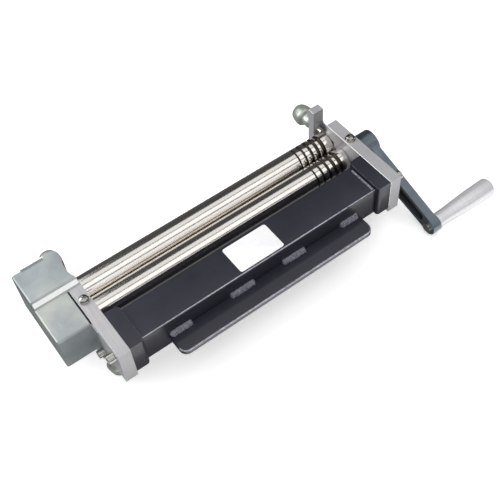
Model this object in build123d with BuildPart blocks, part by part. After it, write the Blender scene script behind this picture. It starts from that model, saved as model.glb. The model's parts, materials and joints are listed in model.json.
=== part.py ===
from build123d import *
from math import atan2, cos, degrees, radians, sin, tan, pi, sqrt, acos
import os

# Twelve-inch bench slip roll, lying on its back, in millimetres.
# +X points to the crank, -Y to the vise tongue, +Z up.
# The origin lies on the under face of the vise tongue.

# ---- driving dimensions ----
ROLL_LEN = 305.0          # clear width between the side plates
PLATE_T = 13.0            # side plate thickness
PLATE_Y0 = 6.5            # front face of the side plates
PLATE_Y1 = 137.9          # rear face of the side plates
PLATE_TOP = 33.0
FOOT_Z = -13.0            # underside of the plate's front part
HEAD_Z = -51.0            # underside of the plate's deep rear part
HEAD_Y = 60.5             # front face of the deep rear part
SLOT_Y0 = 107.8           # open slot for slipping the upper roller out
SLOT_Y1 = 129.1
WEB_T = 1.5               # skin left outside the right plate's blind pocket
NOTCH_Z = 13.0            # bottom of the notch in that skin
BLOCK = 21.0              # bearing block height and width
FIT = 0.05                # running clearance on each side

ROLL_R = 13.3
LOW_Y = 78.9              # lower pinch roller
LOW_Z = 5.5
UP_Y = 106.9              # upper pinch roller
UP_Z = 7.1
BEND_Y = 88.0             # bending roller
BEND_Z = -27.5
UP_DOWN = 1.3             # travel of the upper roller below and above rest
UP_RISE = 11.6
BEND_TRAVEL = 7.0         # travel of the bending roller each way
JOURNAL_R = 6.0
LOW_JOURNAL_R = 8.0
BUSH_R = 11.0
GROOVES = ((109.3, 1.0), (117.2, 1.3), (125.3, 1.6), (133.0, 1.9), (140.3, 2.3))

SCREW_R = 4.0             # adjusting screws, M8 x 1.25
KNOB_FACE = 139.3         # base of the upper knobs
KNOB_L = 28.2
BEND_KNOB_FACE = 52.5     # base of the bending knobs

GEAR_M = 1.75
GEAR_N = 15
GEAR_X0 = -186.5
GEAR_X1 = -168.5
SHAFT_END = -190.5

BEAM_Y0 = 12.4
BEAM_Y1 = 51.5
BEAM_Z0 = -9.2
BEAM_Z1 = 27.6
BEAM_WALL = 4.0
BEAM_X = 137.5
TONGUE_X0 = -112.0
TONGUE_X1 = 116.0
TONGUE_Y = -12.5
TONGUE_T = 6.0

COVER_T = 1.2
COVER_X = -201.5
COVER_GAP_X = -167.4      # the cover's edge beside the left plate
COVER_Y0 = 51.5
COVER_Y1 = 139.5
COVER_STEP = 99.5
COVER_Z = -10.0
COVER_TOP = 39.0

HUB_X0 = 167.0
HUB_X1 = 191.5
HUB_R = 14.5
ARM_LEN = 109.0
ARM_DEG = 24.7            # the arm's slope below level, towards the front
BOSS_X0 = 187.0
BOSS_X1 = 198.0
BOSS_R = 9.5
GRIP_X0 = 199.0
GRIP_X1 = 277.5

# ---- derived sizes ----
IN_X = ROLL_LEN / 2
OUT_X = IN_X + PLATE_T
MID_X = (IN_X + OUT_X) / 2
GRIP_Y = LOW_Y - ARM_LEN * cos(radians(ARM_DEG))
GRIP_Z = LOW_Z - ARM_LEN * sin(radians(ARM_DEG))
PLATE_SCREW = (15.5, 22.5)
DOWEL = (42.0, 2.0)       # hidden pin between plate and end block
DOWEL_END = 4.9
OIL_Y = 77.0
COVER_SCREW = (41.0, -3.0)

os.makedirs("parts", exist_ok=True)


def save(part, name):
    part.part.label = name
    export_step(part.part, f"parts/{name}.step")


def span(a, b):
    # lower end and length of an interval given in either order
    return min(a, b), abs(b - a)


def rod(x0, x1, y, z, r, mode=Mode.ADD):
    # a cylinder along X, for use inside a BuildPart block
    low, length = span(x0, x1)
    with BuildSketch(Plane.YZ.offset(low)) as disc:
        with Locations((y, z)):
            Circle(r)
    extrude(disc.sketch, amount=length, mode=mode)


def brick(x0, x1, y0, y1, z0, z1, mode=Mode.ADD):
    # a box between two corners, for use inside a BuildPart block
    with Locations(((x0 + x1) / 2, (y0 + y1) / 2, (z0 + z1) / 2)):
        Box(abs(x1 - x0), abs(y1 - y0), abs(z1 - z0), mode=mode)


def pole(x, z, y0, y1, r, mode=Mode.ADD):
    # a cylinder along Y, for use inside a BuildPart block
    low, length = span(y0, y1)
    with BuildSketch(Plane.XZ.offset(-low)) as disc:
        with Locations((x, z)):
            Circle(r)
    extrude(disc.sketch, amount=-length, mode=mode)


# ---- side plates ----
def side_plate(s):
    low = min(s * IN_X, s * OUT_X)
    with BuildPart() as plate:
        with BuildSketch(Plane.YZ.offset(low)):
            with BuildLine():
                Polyline(
                    (PLATE_Y0, FOOT_Z),
                    (HEAD_Y, FOOT_Z),
                    (HEAD_Y, HEAD_Z),
                    (PLATE_Y1, HEAD_Z),
                    (PLATE_Y1, PLATE_TOP),
                    (PLATE_Y0, PLATE_TOP),
                    close=True,
                )
            make_face()
            # open slot with its pocket for the upper bearing block
            zlo = UP_Z - BLOCK / 2 - FIT
            zhi = UP_Z + BLOCK / 2 + FIT
            ylo = UP_Y - BLOCK / 2 - UP_DOWN - FIT
            with Locations(((SLOT_Y0 + SLOT_Y1) / 2, (zlo + PLATE_TOP) / 2)):
                Rectangle(SLOT_Y1 - SLOT_Y0, PLATE_TOP - zlo, mode=Mode.SUBTRACT)
            with Locations(((ylo + SLOT_Y1) / 2, (zlo + zhi) / 2)):
                Rectangle(SLOT_Y1 - ylo, zhi - zlo, mode=Mode.SUBTRACT)
            # closed window for the bending block
            y0 = BEND_Y - 10.5 - BEND_TRAVEL - 0.1
            y1 = BEND_Y + 10.5 + BEND_TRAVEL + 0.1
            with Locations(((y0 + y1) / 2, BEND_Z)):
                RectangleRounded(y1 - y0, BLOCK + 2 * FIT, 1.0, mode=Mode.SUBTRACT)
            with Locations((LOW_Y, LOW_Z)):
                Circle(BUSH_R, mode=Mode.SUBTRACT)
        extrude(amount=PLATE_T)
        if s > 0:
            # thin skin outside the blind pocket, with a rounded notch
            with BuildSketch(Plane.YZ.offset(OUT_X - WEB_T)) as web:
                with Locations(((ylo + SLOT_Y1) / 2, (zlo + zhi) / 2)):
                    Rectangle(SLOT_Y1 - ylo, zhi - zlo)
                with Locations(((SLOT_Y0 + SLOT_Y1) / 2, NOTCH_Z + 20)):
                    RectangleRounded(SLOT_Y1 - SLOT_Y0, 40, 5.0, mode=Mode.SUBTRACT)
            extrude(web.sketch, amount=WEB_T)
        corners = plate.edges().filter_by(Axis.X).group_by(Axis.Z)[0]
        fillet(corners, 6.0)
        # adjusting screw holes
        pole(s * MID_X, UP_Z, SLOT_Y1 - 1, PLATE_Y1 + 1, SCREW_R + FIT, Mode.SUBTRACT)
        pole(s * MID_X, BEND_Z, HEAD_Y - 1, BEND_Y - 16, SCREW_R + FIT, Mode.SUBTRACT)
        # clearance holes of the screws into the end block
        rod(s * (IN_X - 1), s * (OUT_X + 1), *PLATE_SCREW, 3.3, Mode.SUBTRACT)
        rod(s * (IN_X - 1), s * (IN_X + DOWEL_END), *DOWEL, 3.0, Mode.SUBTRACT)
        # tapped oil hole down to the bush
        with BuildSketch(Plane.XY.offset(PLATE_TOP)):
            with Locations((s * MID_X, OIL_Y)):
                Circle(2.5)
        extrude(amount=-9, mode=Mode.SUBTRACT)
        with BuildSketch(Plane.XY.offset(PLATE_TOP)):
            with Locations((s * MID_X, OIL_Y)):
                Circle(1.2)
        extrude(amount=-(PLATE_TOP - LOW_Z - 9), mode=Mode.SUBTRACT)
        if s < 0:
            rod(-OUT_X - 1, -OUT_X + 9, COVER_SCREW[0], COVER_SCREW[1], 2.5, Mode.SUBTRACT)
    return plate


for s, side in ((-1, "left"), (1, "right")):
    save(side_plate(s), f"side_plate_{side}")

# ---- beam, end blocks, tongue and welds ----
with BuildPart() as base_beam:
    with BuildSketch(Plane.YZ.offset(-BEAM_X)):
        with Locations(((BEAM_Y0 + BEAM_Y1) / 2, (BEAM_Z0 + BEAM_Z1) / 2)):
            RectangleRounded(BEAM_Y1 - BEAM_Y0, BEAM_Z1 - BEAM_Z0, 1.5)
            Rectangle(
                BEAM_Y1 - BEAM_Y0 - 2 * BEAM_WALL,
                BEAM_Z1 - BEAM_Z0 - 2 * BEAM_WALL,
                mode=Mode.SUBTRACT,
            )
    extrude(amount=2 * BEAM_X)
save(base_beam, "base_beam")


def end_block(s):
    y0, y1 = PLATE_Y0 + 0.5, 53.5
    z0, z1 = -10.0, PLATE_TOP - 0.5
    with BuildPart() as block:
        brick(s * BEAM_X, s * IN_X, y0, y1, z0, z1)
        inner = block.faces().sort_by(Axis.X)[-1 if s < 0 else 0]
        fillet(inner.edges().filter_by(Axis.Z), 3.5)
        inner = block.faces().sort_by(Axis.X)[-1 if s < 0 else 0]
        fillet(inner.edges().group_by(Axis.Z)[0], 3.0)
        rod(s * (IN_X - 11), s * (IN_X + 1), *PLATE_SCREW, 3.0, Mode.SUBTRACT)
        rod(s * (IN_X - 8), s * (IN_X + 1), *DOWEL, 3.0, Mode.SUBTRACT)
    return block


for s, side in ((-1, "left"), (1, "right")):
    save(end_block(s), f"end_block_{side}")

with BuildPart() as end_welds:
    for s in (-1, 1):
        low = min(s * BEAM_X, s * (BEAM_X - 3.2))
        with BuildSketch(Plane.XZ.offset(-(BEAM_Y0 + 3))):
            with BuildLine():
                Polyline(
                    (s * BEAM_X, BEAM_Z1),
                    (s * (BEAM_X - 3.2), BEAM_Z1),
                    (s * (BEAM_X - 1.2), BEAM_Z1 + 0.7),
                    (s * BEAM_X, BEAM_Z1 + 1.2),
                    close=True,
                )
            make_face()
        extrude(amount=-(BEAM_Y1 - BEAM_Y0 - 6))
save(end_welds, "end_welds")

with BuildPart() as vise_tongue:
    with BuildSketch(Plane.XY):
        with Locations(((TONGUE_X0 + TONGUE_X1) / 2, (TONGUE_Y + BEAM_Y0) / 2)):
            Rectangle(TONGUE_X1 - TONGUE_X0, BEAM_Y0 - TONGUE_Y)
    extrude(amount=TONGUE_T)
    corners = vise_tongue.edges().filter_by(Axis.Z).group_by(Axis.Y)[0]
    fillet(corners, 8.0)
    rim = vise_tongue.faces().sort_by(Axis.Z)[-1].edges().group_by(Axis.Y)[0]
    fillet(rim, 1.0)
save(vise_tongue, "vise_tongue")

WELD_X = ((-111.0, -86.0), (-43.0, -13.5), (19.0, 48.0), (91.5, 114.5))
with BuildPart() as tongue_welds:
    for x0, x1 in WELD_X:
        with BuildSketch(Plane.YZ.offset(x0)):
            with BuildLine():
                Polyline(
                    (BEAM_Y0, TONGUE_T),
                    (BEAM_Y0 - 4.2, TONGUE_T),
                    (BEAM_Y0 - 3.0, TONGUE_T + 1.9),
                    (BEAM_Y0 - 1.6, TONGUE_T + 3.3),
                    (BEAM_Y0, TONGUE_T + 4.2),
                    close=True,
                )
            make_face()
        extrude(amount=x1 - x0)
save(tongue_welds, "tongue_welds")


# ---- fasteners ----
with BuildPart() as plate_screws:
    y, z = PLATE_SCREW
    for s in (-1, 1):
        rod(s * (IN_X - 10), s * OUT_X, y, z, 3.0)
        rod(s * OUT_X, s * (OUT_X + 7.5), y, z, 5.0)
        with BuildSketch(Plane.YZ.offset(s * (OUT_X + 7.5))):
            with Locations((y, z)):
                RegularPolygon(2.9, 6)
        extrude(amount=-s * 3.5, mode=Mode.SUBTRACT)
save(plate_screws, "plate_screws")

with BuildPart() as plate_dowels:
    for s in (-1, 1):
        rod(s * (IN_X - 8), s * (IN_X + DOWEL_END), *DOWEL, 3.0)
save(plate_dowels, "plate_dowels")

with BuildPart() as oil_screw_washers:
    for s in (-1, 1):
        with BuildSketch(Plane.XY.offset(PLATE_TOP)):
            with Locations((s * MID_X, OIL_Y)):
                Circle(5.6)
                Circle(2.6, mode=Mode.SUBTRACT)
        extrude(amount=1.0)
save(oil_screw_washers, "oil_screw_washers")

with BuildPart() as oil_screws:
    for s in (-1, 1):
        with BuildSketch(Plane.XZ.offset(-OIL_Y)):
            with BuildLine():
                Polyline(
                    (s * MID_X, PLATE_TOP - 8),
                    (s * MID_X + 2.5, PLATE_TOP - 8),
                    (s * MID_X + 2.5, PLATE_TOP + 1),
                    (s * MID_X + 4.8, PLATE_TOP + 1),
                    (s * MID_X + 4.8, PLATE_TOP + 2.6),
                    (s * MID_X + 4.2, PLATE_TOP + 3.6),
                    (s * MID_X + 2.6, PLATE_TOP + 4.3),
                    (s * MID_X, PLATE_TOP + 4.5),
                    close=True,
                )
            make_face()
        revolve(axis=Axis((s * MID_X, OIL_Y, 0), (0, 0, 1)))
        with BuildSketch(Plane.XY.offset(PLATE_TOP + 5)):
            with Locations((s * MID_X, OIL_Y)):
                Rectangle(5.0, 1.1, rotation=35)
                Rectangle(1.1, 5.0, rotation=35)
        extrude(amount=-2.6, mode=Mode.SUBTRACT)
save(oil_screws, "oil_screws")

with BuildPart() as cover_screw:
    cy, cz = COVER_SCREW
    rod(-OUT_X + 8, -OUT_X - COVER_T, cy, cz, 2.5)
    rod(-OUT_X - COVER_T, -OUT_X - COVER_T - 6.8, cy, cz, 4.0)
    with BuildSketch(Plane.YZ.offset(-OUT_X - COVER_T - 6.8)):
        with Locations((cy, cz)):
            RegularPolygon(2.4, 6)
    extrude(amount=3.0, mode=Mode.SUBTRACT)
save(cover_screw, "cover_screw")


# ---- gear cover, folded from sheet ----
LOBE = (-160.6, 134.4)
LOBE_R = 7.8

with BuildPart() as gear_cover:
    wall_x = -OUT_X - COVER_T
    brick(COVER_X, COVER_GAP_X, COVER_Y0, COVER_STEP, COVER_Z, PLATE_TOP)
    brick(COVER_X, COVER_GAP_X, COVER_STEP, COVER_Y1, COVER_Z, COVER_TOP)
    with BuildSketch(Plane.XY.offset(PLATE_TOP)):
        with BuildLine():
            Polyline(
                (COVER_GAP_X, COVER_STEP),
                (-IN_X - 0.8, COVER_STEP),
                (-IN_X - 3.6, COVER_STEP + 10),
                (-IN_X - 3.6, COVER_STEP + 20),
                (LOBE[0] + LOBE_R, LOBE[1]),
                (LOBE[0], LOBE[1]),
                (COVER_GAP_X, COVER_Y1),
                close=True,
            )
        make_face()
    extrude(amount=COVER_TOP - PLATE_TOP)
    # folds of the sheet
    fillet(gear_cover.edges().filter_by(Axis.Z).group_by(Axis.X)[0], 2.0)
    riser = gear_cover.faces().sort_by(Axis.Z)[-1].edges().filter_by(Axis.X)
    fillet(riser.group_by(Axis.Y)[0], 2.2)
    front = gear_cover.edges().filter_by(Axis.X).group_by(Axis.Y)[0]
    fillet(front.sort_by(Axis.Z)[-1], 2.0)
    # hollow it from the plate side and from below
    brick(COVER_X + COVER_T, -OUT_X + 1, COVER_Y0 + COVER_T, COVER_STEP + COVER_T,
          COVER_Z - 1, PLATE_TOP - COVER_T, Mode.SUBTRACT)
    brick(COVER_X + COVER_T, -OUT_X + 1, COVER_STEP + COVER_T, COVER_Y1 - COVER_T,
          COVER_Z - 1, COVER_TOP - COVER_T, Mode.SUBTRACT)
    brick(-OUT_X - 2, -IN_X, COVER_STEP + COVER_T, COVER_Y1 + 1,
          PLATE_TOP - 1, COVER_TOP - COVER_T, Mode.SUBTRACT)
    # tab on the plate's outer face, bent from the front wall
    with BuildSketch(Plane.YZ.offset(wall_x)):
        with BuildLine():
            Polyline(
                (COVER_Y0 + COVER_T, PLATE_TOP - 3),
                (COVER_Y0 - 10.5, PLATE_TOP - 3),
                (COVER_Y0 - 15.5, 6.0),
                (COVER_Y0 - 15.5, COVER_Z + 1),
                (COVER_Y0 + COVER_T, COVER_Z + 1),
                close=True,
            )
        make_face()
    extrude(amount=COVER_T)
    brick(COVER_GAP_X - 0.5, -OUT_X, COVER_Y0, COVER_Y0 + COVER_T, COVER_Z + 1, PLATE_TOP - 3)
    rod(wall_x - 1, -OUT_X + 1, COVER_SCREW[0], COVER_SCREW[1], 2.7, Mode.SUBTRACT)
    # rounded ear of the raised top, behind the plate
    with BuildSketch(Plane.XY.offset(COVER_TOP - COVER_T)):
        with Locations(LOBE):
            Circle(LOBE_R)
    extrude(amount=COVER_T)
    # upstanding rear edge
    brick(COVER_X + 10, COVER_GAP_X - 0.6, COVER_Y1 - COVER_T, COVER_Y1, COVER_TOP - 1, COVER_TOP + 2.4)
save(gear_cover, "gear_cover")


# ---- bushes and bearing blocks ----
for s, side in ((-1, "left"), (1, "right")):
    with BuildPart() as bush:
        rod(s * IN_X, s * OUT_X, LOW_Y, LOW_Z, BUSH_R)
        rod(s * (IN_X - 1), s * (OUT_X + 1), LOW_Y, LOW_Z, LOW_JOURNAL_R + FIT, Mode.SUBTRACT)
    save(bush, f"lower_bush_{side}")


def bearing_block(s, y, z, up, width=PLATE_T):
    # up is +1 where the screw comes from +Y and -1 where it comes from -Y
    low = min(s * IN_X, s * (IN_X + width))
    with BuildPart() as block:
        with BuildSketch(Plane.YZ.offset(low)):
            with Locations((y, z)):
                RectangleRounded(BLOCK, BLOCK, 1.2)
                Circle(JOURNAL_R + FIT, mode=Mode.SUBTRACT)
        extrude(amount=width)
        # T slot that holds the screw's head and lets the block slide out
        top = y + up * BLOCK / 2
        brick(s * MID_X - 2.7, s * MID_X + 2.7, top + up, top - up * 1.3,
              z - BLOCK, z + BLOCK, Mode.SUBTRACT)
        brick(s * MID_X - 4.2, s * MID_X + 4.2, top - up * 1.2, top - up * 2.9,
              z - BLOCK, z + BLOCK, Mode.SUBTRACT)
    return block


def knob(s, y, z, up):
    x = s * MID_X
    profile = ((0.0, 6.7), (3.0, 7.4), (3.5, 7.0), (8.5, 7.2), (9.8, 7.8), (10.8, 9.6),
               (12.2, 10.9), (14.5, 11.2), (18.0, 10.7), (21.7, 9.9), (25.0, 8.3),
               (27.0, 5.6), (28.0, 2.4))
    with BuildPart() as part:
        with BuildSketch(Plane.XY.offset(z)):
            with BuildLine():
                pts = [(x, y)]
                for t, r in profile:
                    pts.append((x + r, y + up * t))
                pts.append((x, y + up * KNOB_L))
                Polyline(*pts, close=True)
            make_face()
        revolve(axis=Axis((x, 0, z), (0, 1, 0)))
        pole(x, z, y - up, y + up * 18, SCREW_R, Mode.SUBTRACT)
    return part


def adjusting_screw(s, block_y, knob_y, z, up):
    x = s * MID_X
    top = block_y + up * BLOCK / 2
    with BuildPart() as part:
        pole(x, z, top + up * 0.1, knob_y + up * 18, SCREW_R)
        pole(x, z, top - up * 1.3, top + up * 0.1, 2.6)
        pole(x, z, top - up * 1.3, top - up * 2.8, 4.1)
    return part


for s, side in ((-1, "left"), (1, "right")):
    top_width = PLATE_T if s < 0 else PLATE_T - WEB_T - FIT
    save(bearing_block(s, UP_Y, UP_Z, 1, top_width), f"top_block_{side}")
    save(bearing_block(s, BEND_Y, BEND_Z, -1), f"bending_block_{side}")
    save(knob(s, KNOB_FACE, UP_Z, 1), f"top_knob_{side}")
    save(knob(s, BEND_KNOB_FACE, BEND_Z, -1), f"bending_knob_{side}")
    save(adjusting_screw(s, UP_Y, KNOB_FACE, UP_Z, 1), f"top_screw_{side}")
    save(adjusting_screw(s, BEND_Y, BEND_KNOB_FACE, BEND_Z, -1), f"bending_screw_{side}")


# ---- rollers ----
KEY = 3.0
KEY_X0 = -184.5
KEY_X1 = -170.5


def roller_body(y, z, grooved):
    # one turned profile: half of a length section, with round wire grooves
    end = IN_X - 0.4
    pts = [(-end, y), (-end, y + ROLL_R - 0.6), (0.6 - end, y + ROLL_R)]
    if grooved:
        for x, r in GROOVES:
            for k in range(7):
                a = pi * k / 6
                pts.append((x - r * cos(a), y + ROLL_R - r * sin(a)))
    pts += [(end - 0.6, y + ROLL_R), (end, y + ROLL_R - 0.6), (end, y)]
    with BuildSketch(Plane.XY.offset(z)) as half:
        with BuildLine():
            Polyline(*pts, close=True)
        make_face()
    revolve(half.sketch, axis=Axis((0, y, z), (1, 0, 0)))


def key_seat(y, z):
    # half of each key sits in the shaft, on the side facing +Z
    brick(KEY_X0, KEY_X1, y - KEY / 2, y + KEY / 2,
          z + JOURNAL_R - KEY / 2, z + JOURNAL_R + KEY, Mode.SUBTRACT)


def clip_groove(x0, x1, y, z, r, depth=0.8):
    with BuildSketch(Plane.YZ.offset(x0)) as ring:
        with Locations((y, z)):
            Circle(r + 1)
            Circle(r - depth, mode=Mode.SUBTRACT)
    extrude(ring.sketch, amount=x1 - x0, mode=Mode.SUBTRACT)


with BuildPart() as upper_roller:
    roller_body(UP_Y, UP_Z, True)
    rod(SHAFT_END, -IN_X + 1, UP_Y, UP_Z, JOURNAL_R)
    rod(IN_X - 1, OUT_X - WEB_T - 0.4, UP_Y, UP_Z, JOURNAL_R)
    key_seat(UP_Y, UP_Z)
    clip_groove(-188.7, -187.7, UP_Y, UP_Z, JOURNAL_R)
save(upper_roller, "upper_roller")

with BuildPart() as lower_roller:
    roller_body(LOW_Y, LOW_Z, True)
    rod(-OUT_X - 2.8, -IN_X + 1, LOW_Y, LOW_Z, LOW_JOURNAL_R)
    rod(SHAFT_END, -OUT_X, LOW_Y, LOW_Z, JOURNAL_R)
    rod(IN_X - 1, HUB_X1 - 1.5, LOW_Y, LOW_Z, LOW_JOURNAL_R)
    key_seat(LOW_Y, LOW_Z)
    clip_groove(-188.7, -187.7, LOW_Y, LOW_Z, JOURNAL_R)
save(lower_roller, "lower_roller")

with BuildPart() as bending_roller:
    roller_body(BEND_Y, BEND_Z, False)
    for s in (-1, 1):
        rod(s * (IN_X - 1), s * (OUT_X + 3.0), BEND_Y, BEND_Z, JOURNAL_R)
        x0, length = span(s * (OUT_X + 0.3), s * (OUT_X + 1.5))
        clip_groove(x0, x0 + length, BEND_Y, BEND_Z, JOURNAL_R)
save(bending_roller, "bending_roller")


# ---- gears, keys, washers and clips ----
def involute(base, r):
    # polar angle of the involute at radius r
    if r <= base:
        return 0.0
    a = acos(base / r)
    return tan(a) - a


def gear(y, z, phase):
    pitch = GEAR_M * GEAR_N / 2
    base = pitch * cos(radians(20))
    root = pitch - 1.25 * GEAR_M
    tip = pitch + GEAR_M
    half = pi / (2 * GEAR_N) - 0.004 + involute(base, pitch)
    radii = (root, base, (base + pitch) / 2, pitch, (pitch + tip) / 2, tip)
    pts = []
    for k in range(GEAR_N):
        centre = radians(phase) + 2 * pi * k / GEAR_N
        for r in radii:
            a = centre - half + involute(base, r)
            pts.append((y + r * cos(a), z + r * sin(a)))
        for r in reversed(radii):
            a = centre + half - involute(base, r)
            pts.append((y + r * cos(a), z + r * sin(a)))
    with BuildPart() as part:
        with BuildSketch(Plane.YZ.offset(GEAR_X0)):
            with BuildLine():
                Polyline(*pts, close=True)
            make_face()
            with Locations((y, z)):
                Circle(JOURNAL_R, mode=Mode.SUBTRACT)
        extrude(amount=GEAR_X1 - GEAR_X0)
        brick(GEAR_X0 - 1, GEAR_X1 + 1, y - KEY / 2, y + KEY / 2,
              z, z + JOURNAL_R + KEY / 2, Mode.SUBTRACT)
    return part


mesh_angle = degrees(atan2(UP_Z - LOW_Z, UP_Y - LOW_Y))
save(gear(LOW_Y, LOW_Z, mesh_angle), "drive_gear")
save(gear(UP_Y, UP_Z, mesh_angle + 180 + 180 / GEAR_N), "driven_gear")

for name, y, z in (("drive_key", LOW_Y, LOW_Z), ("driven_key", UP_Y, UP_Z)):
    with BuildPart() as key:
        brick(KEY_X0, KEY_X1, y - KEY / 2, y + KEY / 2,
              z + JOURNAL_R - KEY / 2, z + JOURNAL_R + KEY / 2)
    save(key, name)

for name, y, z in (("drive_gear_washer", LOW_Y, LOW_Z), ("driven_gear_washer", UP_Y, UP_Z)):
    with BuildPart() as washer:
        rod(-187.7, GEAR_X0, y, z, 10.0)
        rod(-188, GEAR_X0 + 1, y, z, JOURNAL_R, Mode.SUBTRACT)
    save(washer, name)


def retaining_ring(x0, x1, y, z, part_gap):
    # a spring ring with its gap on the side away from the floor
    rod(x0, x1, y, z, 8.6)
    rod(x0 - 1, x1 + 1, y, z, JOURNAL_R - 0.8, Mode.SUBTRACT)
    brick(x0 - 1, x1 + 1, y - part_gap, y + part_gap, z, z + 12, Mode.SUBTRACT)


with BuildPart() as drive_gear_clip:
    retaining_ring(-188.7, -187.7, LOW_Y, LOW_Z, 3.0)
save(drive_gear_clip, "drive_gear_clip")

with BuildPart() as driven_gear_clip:
    retaining_ring(-188.7, -187.7, UP_Y, UP_Z, 3.0)
save(driven_gear_clip, "driven_gear_clip")

with BuildPart() as clip_pair:
    for s in (-1, 1):
        x0, length = span(s * (OUT_X + 0.3), s * (OUT_X + 1.5))
        with BuildSketch(Plane.YZ.offset(x0)):
            with Locations((BEND_Y, BEND_Z)):
                Circle(8.6)
                Circle(JOURNAL_R - 0.8, mode=Mode.SUBTRACT)
            with Locations((BEND_Y, BEND_Z + 6)):
                Rectangle(6.0, 12.0, mode=Mode.SUBTRACT)
        extrude(amount=length)
save(clip_pair, "bending_roller_clips")


# ---- crank ----
ARM_A = radians(180 + ARM_DEG)          # direction of the arm from +Y towards +Z


ARM_X = 184.0                # the arm's middle at the hub and at the boss
ARM_X_END = 192.5
ARM_T = 9.6
ARM_DIR = Vector(ARM_X_END - ARM_X, ARM_LEN * cos(ARM_A), ARM_LEN * sin(ARM_A))
ARM_SPAN = ARM_DIR.length
ARM_NORMAL = ARM_DIR.cross(Vector(0, -sin(ARM_A), cos(ARM_A)))
ARM_PLANE = Plane(origin=(ARM_X, LOW_Y, LOW_Z), x_dir=ARM_DIR, z_dir=ARM_NORMAL)
HUB_SIDE = Plane(origin=(182.0, LOW_Y, LOW_Z), x_dir=(1, 0, 0),
                 z_dir=(0, -cos(ARM_A), -sin(ARM_A)))

with BuildPart() as crank_arm:
    with BuildSketch(ARM_PLANE.offset(-ARM_T / 2)):
        Circle(12.5)
        with Locations((ARM_SPAN, 0)):
            Circle(BOSS_R - 0.4)
        make_hull()
    extrude(amount=ARM_T)
    # recess along each face, leaving a rim and a web
    for side in (-1, 1):
        with BuildSketch(ARM_PLANE.offset(side * 1.6)):
            with Locations((21.5, 0)):
                Circle(7.4)
            with Locations((ARM_SPAN - 15.5, 0)):
                Circle(5.4)
            make_hull()
        extrude(amount=side * 6, mode=Mode.SUBTRACT)
    rod(HUB_X0, HUB_X1, LOW_Y, LOW_Z, HUB_R)
    rod(BOSS_X0, BOSS_X1, GRIP_Y, GRIP_Z, BOSS_R)
    rod(HUB_X0 - 1, HUB_X1 - 1.5, LOW_Y, LOW_Z, LOW_JOURNAL_R, Mode.SUBTRACT)
    rod(BOSS_X0 - 1, BOSS_X1 + 1, GRIP_Y, GRIP_Z, 4.0, Mode.SUBTRACT)
    # tapped hole for the set screw
    with BuildSketch(HUB_SIDE):
        Circle(3.0)
    extrude(amount=HUB_R + 1, mode=Mode.SUBTRACT)
save(crank_arm, "crank_arm")

with BuildPart() as grip_axle:
    rod(BOSS_X0 - 2.6, BOSS_X0, GRIP_Y, GRIP_Z, 5.2)
    rod(BOSS_X0, BOSS_X1, GRIP_Y, GRIP_Z, 4.0)
    rod(BOSS_X1, 262.0, GRIP_Y, GRIP_Z, 4.0)
    clip_groove(255.0, 256.2, GRIP_Y, GRIP_Z, 4.0, 0.6)
save(grip_axle, "grip_axle")

with BuildPart() as grip_ring:
    rod(255.0, 256.2, GRIP_Y, GRIP_Z, 5.2)
    rod(254.0, 257.2, GRIP_Y, GRIP_Z, 3.4, Mode.SUBTRACT)
    brick(254, 258, GRIP_Y - 2, GRIP_Y + 2, GRIP_Z, GRIP_Z + 8, Mode.SUBTRACT)
save(grip_ring, "grip_ring")

with BuildPart() as crank_grip:
    with BuildSketch(Plane.XY.offset(GRIP_Z)):
        with BuildLine():
            Polyline(
                (GRIP_X0, GRIP_Y),
                (GRIP_X0, GRIP_Y + 7.4),
                (GRIP_X0 + 1.0, GRIP_Y + 8.2),
                (GRIP_X0 + 18, GRIP_Y + 8.6),
                (GRIP_X0 + 38, GRIP_Y + 9.8),
                (GRIP_X0 + 52, GRIP_Y + 10.4),
                (GRIP_X1 - 5.5, GRIP_Y + 10.6),
                (GRIP_X1 - 3.6, GRIP_Y + 10.2),
                (GRIP_X1 - 1.6, GRIP_Y + 8.6),
                (GRIP_X1 - 0.4, GRIP_Y + 5.5),
                (GRIP_X1, GRIP_Y),
                close=True,
            )
        make_face()
    revolve(axis=Axis((0, GRIP_Y, GRIP_Z), (1, 0, 0)))
    rod(GRIP_X0 - 1, 263.0, GRIP_Y, GRIP_Z, 4.0 + FIT, Mode.SUBTRACT)
    rod(254.9, 256.3, GRIP_Y, GRIP_Z, 5.3, Mode.SUBTRACT)
save(crank_grip, "crank_grip")

# set screw on the side of the hub away from the arm
with BuildPart() as crank_set_screw:
    with BuildSketch(HUB_SIDE.offset(LOW_JOURNAL_R)):
        Circle(3.0)
    extrude(amount=HUB_R - LOW_JOURNAL_R - 1.0)
    with BuildSketch(HUB_SIDE.offset(HUB_R - 1.0)):
        RegularPolygon(1.7, 6)
    extrude(amount=-2.5, mode=Mode.SUBTRACT)
save(crank_set_screw, "crank_set_screw")
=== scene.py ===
import json
import math

import bmesh
import bpy
from mathutils import Matrix, Vector, noise


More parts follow.
